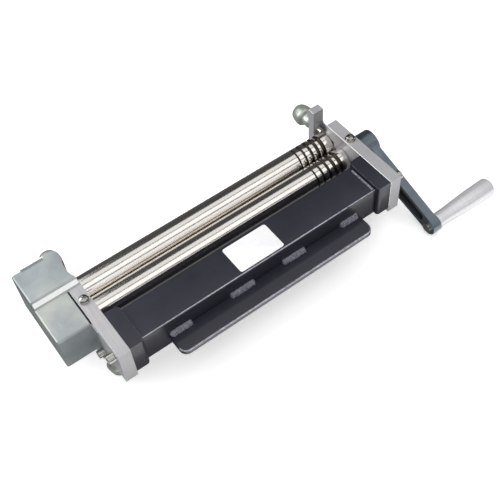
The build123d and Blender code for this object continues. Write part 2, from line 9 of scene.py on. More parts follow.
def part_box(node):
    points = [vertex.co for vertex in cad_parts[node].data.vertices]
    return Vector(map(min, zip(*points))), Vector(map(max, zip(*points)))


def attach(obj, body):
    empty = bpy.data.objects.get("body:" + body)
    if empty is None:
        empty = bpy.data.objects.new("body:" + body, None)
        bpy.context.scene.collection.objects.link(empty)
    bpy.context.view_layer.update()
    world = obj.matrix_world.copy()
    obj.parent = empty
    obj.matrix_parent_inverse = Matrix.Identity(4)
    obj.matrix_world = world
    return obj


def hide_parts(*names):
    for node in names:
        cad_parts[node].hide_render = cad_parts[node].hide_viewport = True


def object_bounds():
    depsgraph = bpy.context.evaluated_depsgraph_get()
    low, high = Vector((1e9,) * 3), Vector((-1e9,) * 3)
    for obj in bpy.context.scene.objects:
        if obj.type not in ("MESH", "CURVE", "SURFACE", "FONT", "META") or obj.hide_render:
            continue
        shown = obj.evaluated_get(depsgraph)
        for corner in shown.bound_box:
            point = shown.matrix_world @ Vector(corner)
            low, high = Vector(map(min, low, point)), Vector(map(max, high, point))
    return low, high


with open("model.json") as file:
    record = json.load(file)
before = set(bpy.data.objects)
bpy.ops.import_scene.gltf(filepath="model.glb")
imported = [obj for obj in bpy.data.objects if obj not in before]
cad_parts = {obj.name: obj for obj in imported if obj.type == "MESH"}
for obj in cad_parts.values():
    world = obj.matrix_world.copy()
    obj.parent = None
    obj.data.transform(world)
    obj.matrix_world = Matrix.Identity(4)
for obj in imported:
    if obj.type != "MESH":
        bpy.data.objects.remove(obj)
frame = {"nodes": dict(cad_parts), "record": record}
CAD_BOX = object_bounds()
NODES = frame["nodes"]
MM = 0.001

# ---- camera fitted to the photograph: millimetres and degrees in the part's frame ----
CAM_POS = (-256.858, -377.091, 685.784)
CAM_AZ = -31.798
CAM_EL = 53.891
CAM_ROLL = -5.54
CAM_FOCAL_PX = 854.926
PHOTO_PX = 500
SENSOR_MM = 36.0


def make_camera():
    az, el, ro = (math.radians(v) for v in (CAM_AZ, CAM_EL, CAM_ROLL))
    look = Vector((-math.sin(az) * math.cos(el), math.cos(az) * math.cos(el), -math.sin(el)))
    level_right = look.cross(Vector((0, 0, 1))).normalized()
    level_up = level_right.cross(look)
    right = math.cos(ro) * level_right + math.sin(ro) * level_up
    up = -math.sin(ro) * level_right + math.cos(ro) * level_up
    cam = bpy.data.cameras.new("photo_camera")
    cam.sensor_width = SENSOR_MM
    cam.lens = SENSOR_MM * CAM_FOCAL_PX / PHOTO_PX
    cam.clip_start = 0.01
    cam.dof.use_dof = False
    ob = bpy.data.objects.new("photo_camera", cam)
    bpy.context.collection.objects.link(ob)
    rot = Matrix((right, up, -look)).transposed().to_4x4()
    ob.matrix_world = Matrix.Translation(Vector(CAM_POS) * MM) @ rot
    bpy.context.scene.camera = ob


# ---- material helpers ----
def linear(rgb):
    """Linear colour from an sRGB triple of 0 to 255, with alpha 1."""
    out = [v / 255 / 12.92 if v / 255 <= 0.04045 else ((v / 255 + 0.055) / 1.055) ** 2.4 for v in rgb]
    return (*out, 1)


def enabled(sockets, name):
    return next(s for s in sockets if s.name == name and s.enabled)


class Mat:
    """A principled material; texture scales are in 1/mm on object coordinates."""

    def __init__(self, name, **sockets):
        self.m = bpy.data.materials.new(name)
        self.m.use_nodes = True
        self.t = self.m.node_tree
        self.b = self.t.nodes["Principled BSDF"]
        self.set(self.b, **sockets)
        self.co = self.t.nodes.new("ShaderNodeTexCoord").outputs["Object"]

    @staticmethod
    def set(node, **sockets):
        for k, v in sockets.items():
            node.inputs[k.replace("_", " ")].default_value = v

    def node(self, kind, **sockets):
        n = self.t.nodes.new("ShaderNode" + kind)
        self.set(n, **sockets)
        return n

    def link(self, a, b):
        self.t.links.new(a, b)

    def scaled(self, scale, stretch):
        mapping = self.node("Mapping", Scale=[scale / MM * v for v in stretch])
        self.link(self.co, mapping.inputs["Vector"])
        return mapping.outputs["Vector"]

    def noise(self, scale, detail=3.0, rough=0.55, stretch=(1, 1, 1)):
        n = self.node("TexNoise", Scale=1.0, Detail=detail, Roughness=rough)
        self.link(self.scaled(scale, stretch), n.inputs["Vector"])
        return n.outputs["Fac"]

    def cells(self, scale):
        n = self.node("TexVoronoi", Scale=1.0)
        self.link(self.scaled(scale, (1, 1, 1)), n.inputs["Vector"])
        return n.outputs["Color"]

    def ramp(self, fac, *stops):
        """Colour ramp of (position, sRGB triple) stops."""
        r = self.node("ValToRGB")
        ends = r.color_ramp.elements
        for element, (pos, rgb) in ((ends[0], stops[0]), (ends[1], stops[-1])):
            element.position = pos
            element.color = linear(rgb)
        for pos, rgb in stops[1:-1]:
            r.color_ramp.elements.new(pos).color = linear(rgb)
        self.link(fac, r.inputs["Fac"])
        return r.outputs["Color"]

    def mix(self, share, a, b):
        m = self.node("Mix")
        m.data_type = "RGBA"
        enabled(m.inputs, "Factor").default_value = share
        self.link(a, enabled(m.inputs, "A"))
        self.link(b, enabled(m.inputs, "B"))
        return enabled(m.outputs, "Result")

    def color(self, out):
        self.link(out, self.b.inputs["Base Color"])

    def tint(self, fac, *stops):
        self.color(self.ramp(fac, *stops))

    def rough(self, fac, lo, hi):
        """Roughness from lo to hi over the middle of a noise."""
        r = self.node("MapRange", From_Min=0.3, From_Max=0.7, To_Min=lo, To_Max=hi)
        self.link(fac, r.inputs["Value"])
        self.link(r.outputs["Result"], self.b.inputs["Roughness"])

    def bump(self, height, dist_mm, strength):
        n = self.node("Bump", Strength=strength, Distance=dist_mm * MM)
        self.link(height, n.inputs["Height"])
        self.link(n.outputs["Normal"], self.b.inputs["Normal"])


# ---- materials ----
def paint():
    m = Mat("slate_paint", Roughness=0.36, Coat_Weight=0.5, Coat_Roughness=0.12)
    m.tint(m.noise(0.03, 4), (0.3, (23, 25, 37)), (0.55, (27, 29, 42)), (0.75, (31, 33, 46)))
    m.rough(m.noise(0.12, 5, 0.6), 0.30, 0.44)
    m.bump(m.noise(0.5, 2, 0.5), 0.05, 0.3)
    return m.m


# Painted highlight: pale glossy paint on chosen front and top edges, standing for the light those edges
# catch; rear edges keep the plain paint.
def highlight_paint_edges():
    m = Mat("painted_highlight_on_paint_edges", Roughness=0.25, Coat_Weight=1.0, Coat_Roughness=0.08)
    m.tint(m.noise(0.25, 4, 0.6), (0.3, (112, 114, 126)), (0.5, (158, 159, 170)), (0.75, (190, 191, 200)))
    m.rough(m.noise(0.4, 4, 0.6), 0.2, 0.36)
    return m.m


# Painted highlight: near-white polished metal on the gear cover's bends and riser, standing for the light
# they catch.
def painted_bend_highlight():
    m = Mat("painted_bend_highlight", Metallic=1.0, Roughness=0.3)
    n = m.noise(0.12, 4, 0.6)
    m.tint(n, (0.3, (244, 247, 247)), (0.7, (255, 255, 255)))
    m.rough(n, 0.18, 0.28)
    return m.m


# Painted highlight: bright metal on the side plates' top and front edges, standing for the light those
# edges catch.
def plate_edge_highlight_metal():
    m = Mat("painted_plate_edge_highlight", Metallic=0.8, Roughness=0.28)
    n = m.noise(0.3, 4, 0.6)
    m.tint(n, (0.3, (214, 213, 216)), (0.7, (236, 235, 237)))
    m.rough(n, 0.22, 0.36)
    return m.m


def painted_weld():
    m = Mat("painted_weld", Roughness=0.38, Coat_Weight=0.5, Coat_Roughness=0.15)
    m.tint(m.noise(0.5, 4), (0.3, (84, 86, 97)), (0.6, (124, 125, 136)), (0.8, (168, 168, 178)))
    m.rough(m.noise(0.9, 3), 0.3, 0.55)
    m.bump(m.noise(1.1, 4, 0.6), 0.15, 0.5)
    return m.m


def ground_steel():
    m = Mat("ground_steel", Metallic=0.35, Roughness=0.4)
    lines = m.noise(0.9, 3, 0.6, (1, 0.03, 1))
    cloud = m.noise(0.03, 4, 0.6)
    base = m.ramp(cloud, (0.3, (172, 171, 176)), (0.5, (178, 177, 180)), (0.7, (184, 182, 182)))
    grind = m.ramp(lines, (0.35, (160, 160, 164)), (0.65, (224, 224, 224)))
    m.color(m.mix(0.16, base, grind))
    m.rough(lines, 0.34, 0.48)
    m.bump(lines, 0.012, 0.3)
    return m.m


def galvanised_sheet():
    m = Mat("galvanised_sheet", Metallic=0.55, Roughness=0.33)
    cloud = m.noise(0.022, 4, 0.5)
    base = m.ramp(cloud, (0.32, (140, 149, 154)), (0.5, (157, 164, 165)), (0.68, (182, 186, 180)))
    spangle = m.ramp(m.cells(0.07), (0.2, (152, 158, 164)), (0.8, (180, 183, 180)))
    m.color(m.mix(0.22, base, spangle))
    m.rough(m.noise(0.05, 4, 0.55), 0.28, 0.44)
    m.bump(m.noise(0.035, 4, 0.5), 0.3, 0.25)
    return m.m


def polished_steel():
    m = Mat("polished_steel", Metallic=1.0, Roughness=0.13)
    m.tint(m.noise(0.02, 3, 0.5), (0.3, (240, 235, 229)), (0.7, (247, 243, 238)))
    m.rough(m.noise(0.08, 2, 0.5, (1, 0.02, 0.02)), 0.15, 0.18)
    return m.m


def nickel_screw():
    m = Mat("nickel_screw", Metallic=1.0, Roughness=0.2)
    n = m.noise(0.6, 3)
    m.tint(n, (0.3, (170, 168, 164)), (0.7, (206, 204, 200)))
    m.rough(n, 0.12, 0.26)
    return m.m


def knob_steel():
    m = Mat("knob_steel", Metallic=0.7, Roughness=0.3)
    m.tint(m.noise(0.12, 4, 0.6), (0.3, (184, 190, 184)), (0.55, (200, 205, 199)), (0.75, (212, 215, 210)))
    m.rough(m.noise(0.3, 4, 0.6), 0.28, 0.46)
    m.bump(m.noise(0.45, 3, 0.55), 0.03, 0.35)
    return m.m


def crank_enamel():
    m = Mat("crank_enamel", Metallic=0.9, Roughness=0.32, Coat_Weight=0.5, Coat_Roughness=0.16)
    m.tint(m.noise(0.05, 4), (0.3, (104, 113, 122)), (0.7, (124, 134, 144)))
    m.rough(m.noise(0.2, 4), 0.3, 0.44)
    m.bump(m.noise(0.3, 3, 0.5), 0.1, 0.4)
    return m.m


def satin_aluminium():
    m = Mat("satin_aluminium", Metallic=0.45, Roughness=0.3)
    turned = m.noise(0.5, 2, 0.5, (1, 0.03, 0.03))
    m.tint(turned, (0.3, (226, 226, 229)), (0.7, (234, 234, 237)))
    m.rough(turned, 0.28, 0.34)
    return m.m


def plain_metal(name, dark, light, rough):
    m = Mat(name, Metallic=1.0, Roughness=rough)
    m.tint(m.noise(0.3, 4), (0.3, dark), (0.7, light))
    m.rough(m.noise(0.7, 3), rough - 0.07, rough + 0.1)
    m.bump(m.noise(0.8, 3), 0.02, 0.3)
    return m.m


def blank_sticker():
    m = Mat("blank_sticker", Roughness=0.42)
    n = m.noise(0.25, 4)
    m.tint(n, (0.3, (240, 239, 241)), (0.7, (246, 245, 247)))
    m.rough(n, 0.36, 0.5)
    m.bump(m.noise(1.2, 3), 0.01, 0.3)
    return m.m


SLOT_MATERIAL = {
    "paint": paint(),
    "plate_steel": ground_steel(),
    "roller_steel": polished_steel(),
    "screw_steel": nickel_screw(),
    "galvanised": galvanised_sheet(),
    "gear_steel": plain_metal("gear_steel_mat", (120, 120, 122), (160, 160, 160), 0.35),
    "dark_steel": plain_metal("dark_steel_mat", (46, 46, 48), (66, 66, 68), 0.4),
    "bronze": plain_metal("bronze_mat", (176, 138, 84), (200, 164, 108), 0.35),
    "crank_paint": crank_enamel(),
    "grip_aluminium": satin_aluminium(),
    "block_steel": plain_metal("block_steel_mat", (140, 140, 142), (170, 170, 170), 0.38),
}
WELD = painted_weld()
KNOB = knob_steel()
PAINT_HIGHLIGHT_EDGE = highlight_paint_edges()
PLATE_EDGE_HIGHLIGHT = plate_edge_highlight_metal()
BEND_HIGHLIGHT = painted_bend_highlight()
# Painted shade: dark steel for the bottoms of the roller grooves.
GROOVE_SHADE = plain_metal("painted_groove_shade", (58, 54, 46), (92, 86, 76), 0.4)
STICKER = blank_sticker()
NODE_SLOT = {s["node"]: s["material_slot"] for s in frame["record"]["subparts"]}
BODIES = frame["record"]["behaviour"]["bodies"]
NODE_BODY = {node: body for body, members in BODIES.items() for node in members}


def give(ob, mat):
    ob.data.materials.clear()
    ob.data.materials.append(mat)


def dress_cad():
    for name, ob in NODES.items():
        mat = SLOT_MATERIAL[NODE_SLOT[name]]
        if ob.data.materials:
            for slot in ob.material_slots:
                slot.material = mat
        else:
            ob.data.materials.append(mat)


# ---- pieces ----
def mesh_object(name, bm):
    me = bpy.data.meshes.new(name)
    bm.to_mesh(me)
    bm.free()
    ob = bpy.data.objects.new(name, me)
    bpy.context.collection.objects.link(ob)
    return ob


def new_piece(name, bm, mat, body, smooth_deg=40):
    """Object from bm, smooth below smooth_deg, riding on a body."""
    ob = mesh_object(name, bm)
    give(ob, mat)
    for p in ob.data.polygons:
        p.use_smooth = True
    ob.data.set_sharp_from_angle(angle=math.radians(smooth_deg))
    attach(ob, body)
    return ob


def skin(bm, rings):
    """Quads between closed rings of vertices."""
    m = len(rings[0])
    for a, b in zip(rings, rings[1:]):
        for i in range(m):
            j = (i + 1) % m
            bm.faces.new((a[i], a[j], b[j], b[i]))


def cap_ends(bm, rings):
    bm.faces.new(rings[0])
    bm.faces.new(rings[-1])


def face_out(bm):
    bmesh.ops.recalc_face_normals(bm, faces=bm.faces)


# ---- CAD nodes with softened edges, painted highlights and painted shade ----
SOFT_SEGMENTS = 2
SOFT_ANGLE = 32
FOLD_SEGMENTS = 4
# limits in mm that pick edges and faces of the CAD meshes
BEAM_CORNER_Y = (12.6, 13.45)
BEAM_CORNER_Z = 26.6
BLOCK_TOP_Z = 32.0
BLOCK_INNER_X = 138.0
BLOCK_FRONT_Y = 10.9
TONGUE_TOP_Z = 4.8
TONGUE_FRONT_Y = -3.0
PLATE_OUTER_X = 152.8
PLATE_TOP_Z = 32.9
PLATE_FRONT_Y = 6.6
ARM_LEAN = (0.07, 0.03)         # X that the arm's faces lose for each mm of Y and Z
ARM_POCKET_X = (187.2, 192.6)
COVER_WALL_X = -201.3
COVER_WALL_TOP_Z = 32.5
COVER_FRONT_Y = 37.0
COVER_LOW_TOP_Z = 31.9
COVER_RIM_Z = 40.0
LONG_EDGE = 5
PLATE_TOP_EDGE = 4


def rounded(node, width_mm, fold=None, fold_mm=None, edge_mat=None, zone=None):
    """A copy of a CAD node's mesh with softened edges, standing for the node.

    fold(a, b) picks edges, by their ends in mm, that get the wide radius fold_mm first.
    edge_mat is the colour of those radii, and of the faces that zone(centre, normal) picks; every caller
    gives painted light here, a painted highlight or a painted shade.
    """
    bm = bmesh.new()
    bm.from_mesh(NODES[node].data)
    bmesh.ops.remove_doubles(bm, verts=bm.verts, dist=1e-6)
    bmesh.ops.dissolve_limit(bm, angle_limit=math.radians(1.0), verts=bm.verts, edges=bm.edges)
    if fold:
        bends = [e for e in bm.edges if fold(e.verts[0].co / MM, e.verts[1].co / MM)]
        bmesh.ops.bevel(bm, geom=bends, offset=fold_mm * MM, segments=FOLD_SEGMENTS, profile=0.5,
                        affect="EDGES", clamp_overlap=True, material=1)
    if zone:
        for f in bm.faces:
            if zone(f.calc_center_median() / MM, f.normal):
                f.material_index = 1
    # Material indices of the faces with the painted highlight or painted shade.
    finish = [f.material_index for f in bm.faces]
    ob = new_piece(node + "_finished", bm, SLOT_MATERIAL[NODE_SLOT[node]], NODE_BODY[node])
    if edge_mat:
        ob.data.materials.append(edge_mat)
        ob.data.polygons.foreach_set("material_index", finish)
    mod = ob.modifiers.new("edge", "BEVEL")
    mod.width = width_mm * MM
    mod.segments = SOFT_SEGMENTS
    mod.limit_method = "ANGLE"
    mod.angle_limit = math.radians(SOFT_ANGLE)
    mod.harden_normals = True
    mod.use_clamp_overlap = True
    ob.modifiers.new("even", "WEIGHTED_NORMAL").keep_sharp = True
    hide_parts(node)


def beam_corner(c, n):
    """Middle of the beam's rounded front top corner, which gets a painted highlight."""
    return BEAM_CORNER_Y[0] < c.y < BEAM_CORNER_Y[1] and c.z > BEAM_CORNER_Z


def block_edge(a, b):
    """An end block's top edge beside the beam, and its front top edge; both get a painted highlight."""
    top = min(a.z, b.z) > BLOCK_TOP_Z
    inner = max(abs(a.x), abs(b.x)) < BLOCK_INNER_X
    front = max(a.y, b.y) < BLOCK_FRONT_Y
    return top and (inner or front)


def tongue_edge(a, b):
    """Front top edge of the tongue with its corners, which get a painted highlight."""
    return min(a.z, b.z) > TONGUE_TOP_Z and max(a.y, b.y) < TONGUE_FRONT_Y


def plate_edge(a, b):
    """Long top edges and front edges of a side plate, which get a painted highlight; on the right plate
    only its inner ones.
    """
    outer_right = max(a.x, b.x) > PLATE_OUTER_X
    on_top = min(a.z, b.z) > PLATE_TOP_Z
    top = on_top and abs(a.y - b.y) > PLATE_TOP_EDGE
    front = max(a.y, b.y) < PLATE_FRONT_Y and (abs(a.z - b.z) > LONG_EDGE or on_top)
    return (top or front) and not outer_right


def arm_recess_shade(c, n):
    """Floors of the recess on both faces of the slanting crank arm, which get dark steel as painted shade.
    """
    across_arm = c.x + ARM_LEAN[0] * c.y + ARM_LEAN[1] * c.z
    return abs(n.x) > 0.9 and ARM_POCKET_X[0] < across_arm < ARM_POCKET_X[1]


def outer_bend(a, b):
    """Top edges along the gear cover's outer wall, which get a wide bend with a painted highlight."""
    wall_top = max(a.x, b.x) < COVER_WALL_X and min(a.z, b.z) > COVER_WALL_TOP_Z
    return wall_top and abs(a.y - b.y) > LONG_EDGE


def cover_bends(c, n):
    """Bend along the front of the cover's low top, and the rim of its upstanding rear edge; both get a
    painted highlight.
    """
    front = c.y < COVER_FRONT_Y and c.z > COVER_LOW_TOP_Z and abs(n.y) < 0.95
    return front or c.z > COVER_RIM_Z


def softened_nodes():
    # Painted highlights on chosen edges of the beam, end blocks, tongue, side plates and gear cover;
    # painted shade in the crank arm's recess.
    rounded("base_beam", 0.4, edge_mat=PAINT_HIGHLIGHT_EDGE, zone=beam_corner)
    rounded("end_block_left", 0.5, fold=block_edge, fold_mm=0.7, edge_mat=PAINT_HIGHLIGHT_EDGE)
    rounded("end_block_right", 0.5, fold=block_edge, fold_mm=0.9, edge_mat=PAINT_HIGHLIGHT_EDGE)
    rounded("vise_tongue", 0.4, fold=tongue_edge, fold_mm=0.8, edge_mat=PAINT_HIGHLIGHT_EDGE)
    rounded("side_plate_left", 0.3, fold=plate_edge, fold_mm=0.45, edge_mat=PLATE_EDGE_HIGHLIGHT)
    rounded("side_plate_right", 0.3, fold=plate_edge, fold_mm=0.45, edge_mat=PLATE_EDGE_HIGHLIGHT)
    # Painted shade: the floors of the crank arm's recess take the dark steel.
    rounded("crank_arm", 0.9, edge_mat=SLOT_MATERIAL["dark_steel"], zone=arm_recess_shade)
    for name, width in (("plate_screws", 0.4), ("cover_screw", 0.4), ("oil_screws", 0.15)):
        rounded(name, width)
    # Painted highlight on the gear cover's bends.
    rounded("gear_cover", 0.35, fold=outer_bend, fold_mm=1.7, edge_mat=BEND_HIGHLIGHT, zone=cover_bends)


# ---- turned pieces ----
def smooth_profile(pts, n=5):
    """More points on a smooth curve through the given (position, radius) pairs."""
    out = []
    for i in range(len(pts) - 1):
        a, b = Vector(pts[max(i - 1, 0)]), Vector(pts[i])
        c, d = Vector(pts[i + 1]), Vector(pts[min(i + 2, len(pts) - 1)])
        for k in range(n):
            t = k / n
            q = 2 * b + (c - a) * t + (2 * a - 5 * b + 4 * c - d) * t * t + (3 * b - a - 3 * c + d) * t ** 3
            out.append((0.5 * q.x, 0.5 * q.y))
    out.append(pts[-1])
    return out


def lathe(bm, profile, axis, centre, segments):
    """Turned solid: (position, radius) pairs in mm along X or Y round a centre line."""
    rings = []
    for pos, r in profile:
        ring = []
        for k in range(segments):
            a = 2 * math.pi * k / segments
            u, v = r * math.cos(a), r * math.sin(a)
            if axis == "X":
                p = (pos, centre[0] + u, centre[1] + v)
            else:
                p = (centre[0] + u, pos, centre[1] + v)
            ring.append(bm.verts.new([c * MM for c in p]))
        rings.append(ring)
    skin(bm, rings)
    cap_ends(bm, rings)
    face_out(bm)


def turned_piece(node, profile, axis, centre, mat=None, segments=96, deg=35):
    bm = bmesh.new()
    lathe(bm, profile, axis, centre, segments)
    ob = new_piece(node + "_turned", bm, mat or SLOT_MATERIAL[NODE_SLOT[node]], NODE_BODY[node], deg)
    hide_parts(node)
    return ob


ROLL_R = 13.3
ROLL_END_X = 152.1
ROLL_CHAMFER = 0.6
# place along X, radius
GROOVES = ((109.3, 1.0), (117.2, 1.3), (125.3, 1.6), (133.0, 1.9), (140.3, 2.3))
GROOVE_LIP = 0.35
GROOVE_SINK = 0.05
GROOVE_STEPS = 8
DARK_DEPTH = 0.2                # depth below the barrel where a groove gets the painted shade
DARK_REACH = 3                  # past the outer grooves
UPPER_AXIS = (106.9, 7.1)       # Y and Z of each roller's axis
LOWER_AXIS = (78.9, 5.5)
BENDING_AXIS = (88.0, -27.5)
# (X, radius) steps of the journals, from the outside in on the left and the other way on the right
GEAR_JOURNAL = [(-190.5, 5.6), (-190.1, 6.0), (-188.7, 6.0), (-188.7, 5.2), (-187.7, 5.2), (-187.7, 6.0)]
UPPER_LEFT = GEAR_JOURNAL + [(-152.4, 6.0)]
UPPER_RIGHT = [(162.9, 6.0), (163.6, 5.4)]
LOWER_LEFT = GEAR_JOURNAL + [(-168.3, 6.0), (-168.3, 8.0)]
LOWER_RIGHT = [(189.6, 8.0), (190.0, 7.6)]
BENDING_RIGHT = [(165.8, 6.0), (165.8, 5.2), (167.0, 5.2), (167.0, 6.0), (168.1, 6.0), (168.5, 5.6)]


def roller_profile(left, right, grooved):
    """Left journal steps, barrel with wire grooves, right journal steps."""
    chamfer_r = ROLL_R - ROLL_CHAMFER
    pts = left + [(-ROLL_END_X, left[-1][1]), (-ROLL_END_X, chamfer_r), (ROLL_CHAMFER - ROLL_END_X, ROLL_R)]
    for x, r in GROOVES if grooved else ():
        pts.append((x - r - GROOVE_LIP, ROLL_R))
        for k in range(GROOVE_STEPS + 1):
            a = math.pi * k / GROOVE_STEPS
            pts.append((x - r * math.cos(a), ROLL_R - GROOVE_SINK - r * math.sin(a)))
        pts.append((x + r + GROOVE_LIP, ROLL_R))
    pts += [(ROLL_END_X - ROLL_CHAMFER, ROLL_R), (ROLL_END_X, chamfer_r), (ROLL_END_X, right[0][1])]
    return pts + right


def paint_groove_shade(ob, axis):
    """Painted shade: dark steel in the bottoms of the wire grooves."""
    ob.data.materials.append(GROOVE_SHADE)
    x0, x1 = GROOVES[0][0] - DARK_REACH, GROOVES[-1][0] + DARK_REACH
    for p in ob.data.polygons:
        c = p.center / MM
        inside = math.hypot(c.y - axis[0], c.z - axis[1]) < ROLL_R - DARK_DEPTH
        if inside and x0 < c.x < x1:
            p.material_index = 1


def rollers():
    for node, axis, left, right in (("upper_roller", UPPER_AXIS, UPPER_LEFT, UPPER_RIGHT),
                                    ("lower_roller", LOWER_AXIS, LOWER_LEFT, LOWER_RIGHT)):
        paint_groove_shade(turned_piece(node, roller_profile(left, right, True), "X", axis), axis)
    bending_left = [(-x, r) for x, r in reversed(BENDING_RIGHT)]
    turned_piece("bending_roller", roller_profile(bending_left, BENDING_RIGHT, False), "X", BENDING_AXIS)


# (distance from the knob's base, radius)
KNOB_PROFILE = ((0.0, 6.2), (0.4, 6.7), (3.0, 7.4), (3.5, 7.0), (8.5, 7.2), (9.8, 7.8), (10.8, 9.6),
                (12.2, 10.9), (14.5, 11.2), (18.0, 10.7), (21.7, 9.9), (25.0, 8.3), (27.0, 5.6),
                (28.0, 2.4), (28.2, 0.6))
KNOB_X = 159.0
TOP_KNOBS = ("top", 139.3, 7.1, 1)             # name, base Y, axis Z, way it points along Y
BENDING_KNOBS = ("bending", 52.5, -27.5, -1)


def knobs():
    for side, x in (("left", -KNOB_X), ("right", KNOB_X)):
        for kind, face, z, way in (TOP_KNOBS, BENDING_KNOBS):
            profile = [(face + way * t, r) for t, r in smooth_profile(KNOB_PROFILE)]
            turned_piece(f"{kind}_knob_{side}", profile, "Y", (x, z), KNOB, segments=56, deg=50)


def grip():
    lo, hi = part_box("crank_grip")
    y = (lo[1] + hi[1]) / 2 / MM
    z = (lo[2] + hi[2]) / 2 / MM
    x0, x1 = lo[0] / MM, hi[0] / MM
    handle = [(x0 + 1.0, 8.2), (x0 + 18, 8.6), (x0 + 38, 9.8), (x0 + 52, 10.4)]
    far_end = [(x1 - 5.5, 10.6), (x1 - 3.6, 10.2), (x1 - 1.6, 8.6), (x1 - 0.4, 5.5), (x1, 0.6)]
    profile = [(x0, 7.4)] + smooth_profile(handle + far_end, 6)
    turned_piece("crank_grip", profile, "X", (y, z), segments=72, deg=50)


# ---- sheet fold, welds and label ----
STEP_Y = (94.6, 100.2)         # the cover's riser, from its foot to just under the raised top
STEP_TOP_Y = 99.6              # front edge of the raised top
STEP_Z = (33.0, 39.0)
STEP_LIFT = 0.02
STEP_DEPTH = 2
STEP_POINTS = 16
STEP_SOFT = 0.03               # share of the run with no slope at each end
STEP_HIGHLIGHT_SHARE = (0.28, 0.88)     # share of the riser that gets the painted highlight
# X, drop at the outer bend
STEP_SECTIONS = ((-201.5, 1.7), (-201.0, 0.55), (-199.8, 0.0), (-153.4, 0.0))


def cover_step():
    """Sloping riser of the folded cover, in the corner below the raised top."""
    (y0, y1), (z0, z1) = STEP_Y, STEP_Z
    pts = []
    for i in range(STEP_POINTS + 1):
        t = i / STEP_POINTS
        rise = (max(0.0, t - STEP_SOFT) - max(0.0, t - 1 + STEP_SOFT)) / (1 - 2 * STEP_SOFT)
        pts.append((y0 + (y1 - y0) * t, z0 + STEP_LIFT + (z1 - z0) * rise))
    bm = bmesh.new()
    rings = []
    for x, drop in STEP_SECTIONS:
        section = [(y, z - drop) for y, z in pts] + [(y1, z0 - STEP_DEPTH), (y0, z0 - STEP_DEPTH)]
        rings.append([bm.verts.new((x * MM, y * MM, z * MM)) for y, z in section])
    skin(bm, rings)
    cap_ends(bm, rings)
    face_out(bm)
    ob = new_piece("cover_step_fold", bm, SLOT_MATERIAL["galvanised"], "base", smooth_deg=50)
    # Painted highlight on the middle of the riser.
    ob.data.materials.append(BEND_HIGHLIGHT)
    for p in ob.data.polygons:
        if STEP_HIGHLIGHT_SHARE[0] < (p.center.y / MM - y0) / (STEP_TOP_Y - y0) < STEP_HIGHLIGHT_SHARE[1]:
            p.material_index = 1


# side, X of the seam, noise seed, (width, its waviness), (height, its waviness)
END_SEAMS = ((-1, -137.2, 2.3, (0.5, 0.4), (0.15, 0.1)), (1, 136.4, 8.1, (1.9, 1.1), (0.8, 0.45)))
SEAM_Y = (14.0, 47.0)
SEAM_STEPS = 110
SEAM_ARC = 5
SEAM_MIN = (0.2, 0.08)         # least width and height
SEAM_SINK = 0.2
BEAM_TOP_Z = 27.6


def end_seams():
    """Thin uneven seam where the beam's top meets each end block."""
    bm = bmesh.new()
    for s, x0, seed, (width, width_wave), (height, height_wave) in END_SEAMS:
        rings = []
        for i in range(SEAM_STEPS + 1):
            t = i / SEAM_STEPS
            y = SEAM_Y[0] + (SEAM_Y[1] - SEAM_Y[0]) * t
            end = min(1.0, 6 * math.sqrt(max(0.0, t * (1 - t))))
            wave = noise.noise(Vector((y * 0.55, seed, 0))) + 0.6 * noise.noise(Vector((y * 1.7, seed, 5)))
            w = max(SEAM_MIN[0], (width + width_wave * wave) * end)
            h = max(SEAM_MIN[1], (height + height_wave * wave) * end)
            arc = [math.pi / 2 * j / SEAM_ARC for j in range(SEAM_ARC + 1)]
            section = [(x0 - s * w * math.cos(a), BEAM_TOP_Z + h * math.sin(a)) for a in arc]
            section.append((x0, BEAM_TOP_Z - SEAM_SINK))
            rings.append([bm.verts.new((x * MM, y * MM, z * MM)) for x, z in section])
        skin(bm, rings)
        cap_ends(bm, rings)
    face_out(bm)
    ob = new_piece("end_weld_seams", bm, WELD, "base", smooth_deg=60)
    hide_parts("end_welds")


TONGUE_WELD_X = ((-111.0, -86.0), (-43.0, -13.5), (19.0, 48.0), (91.5, 114.5))
BEAD_SIZE = 4.4
BEAD_PITCH = 2.6
BEAD_STEP = 0.5
BEAD_ARC = 6


def bead(bm, x0, x1, corner, seed):
    """One rippled fillet weld along X in the corner (y, z); it opens to -Y and +Z."""
    n = max(8, int((x1 - x0) / BEAD_STEP))
    rings = []
    for i in range(n + 1):
        t = i / n
        x = x0 + (x1 - x0) * t
        end = min(1.0, math.sqrt(max(0.0, 4 * t * (1 - t)) * 4))
        ripple = 0.88 + 0.12 * abs(math.sin(math.pi * x / BEAD_PITCH))
        ring = []
        for j in range(BEAD_ARC + 1):
            a = math.pi / 2 * j / BEAD_ARC
            lump = 1 + 0.16 * noise.noise(Vector((x * 0.35, j * 0.6, seed)))
            k = max(0.05, end) * ripple * lump
            bulge = 1 - 0.18 * math.sin(2 * a)
            y = corner[0] - BEAD_SIZE * k * math.cos(a) * bulge
            z = corner[1] + BEAD_SIZE * k * math.sin(a) * bulge
            ring.append(bm.verts.new((x * MM, y * MM, z * MM)))
        ring.append(bm.verts.new((x * MM, corner[0] * MM, corner[1] * MM)))
        rings.append(ring)
    skin(bm, rings)
    bm.faces.new(rings[0])
    bm.faces.new(list(reversed(rings[-1])))


def tongue_beads():
    """Four fillet welds where the tongue meets the beam's front."""
    lo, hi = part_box("tongue_welds")
    corner = (hi[1] / MM, lo[2] / MM)
    bm = bmesh.new()
    for i, (x0, x1) in enumerate(TONGUE_WELD_X):
        bead(bm, x0, x1, corner, i * 3.7)
    ob = new_piece("tongue_weld_beads", bm, WELD, "base", smooth_deg=60)
    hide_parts("tongue_welds")


LABEL_X = (-25.5, 25.5)
LABEL_Y = (14.9, 47.5)
LABEL_RADIUS = 2.5
LABEL_CORNER_STEPS = 6
LABEL_LEVELS = ((0.0, 0.0), (0.0, 0.14), (0.12, 0.2))     # inset, height


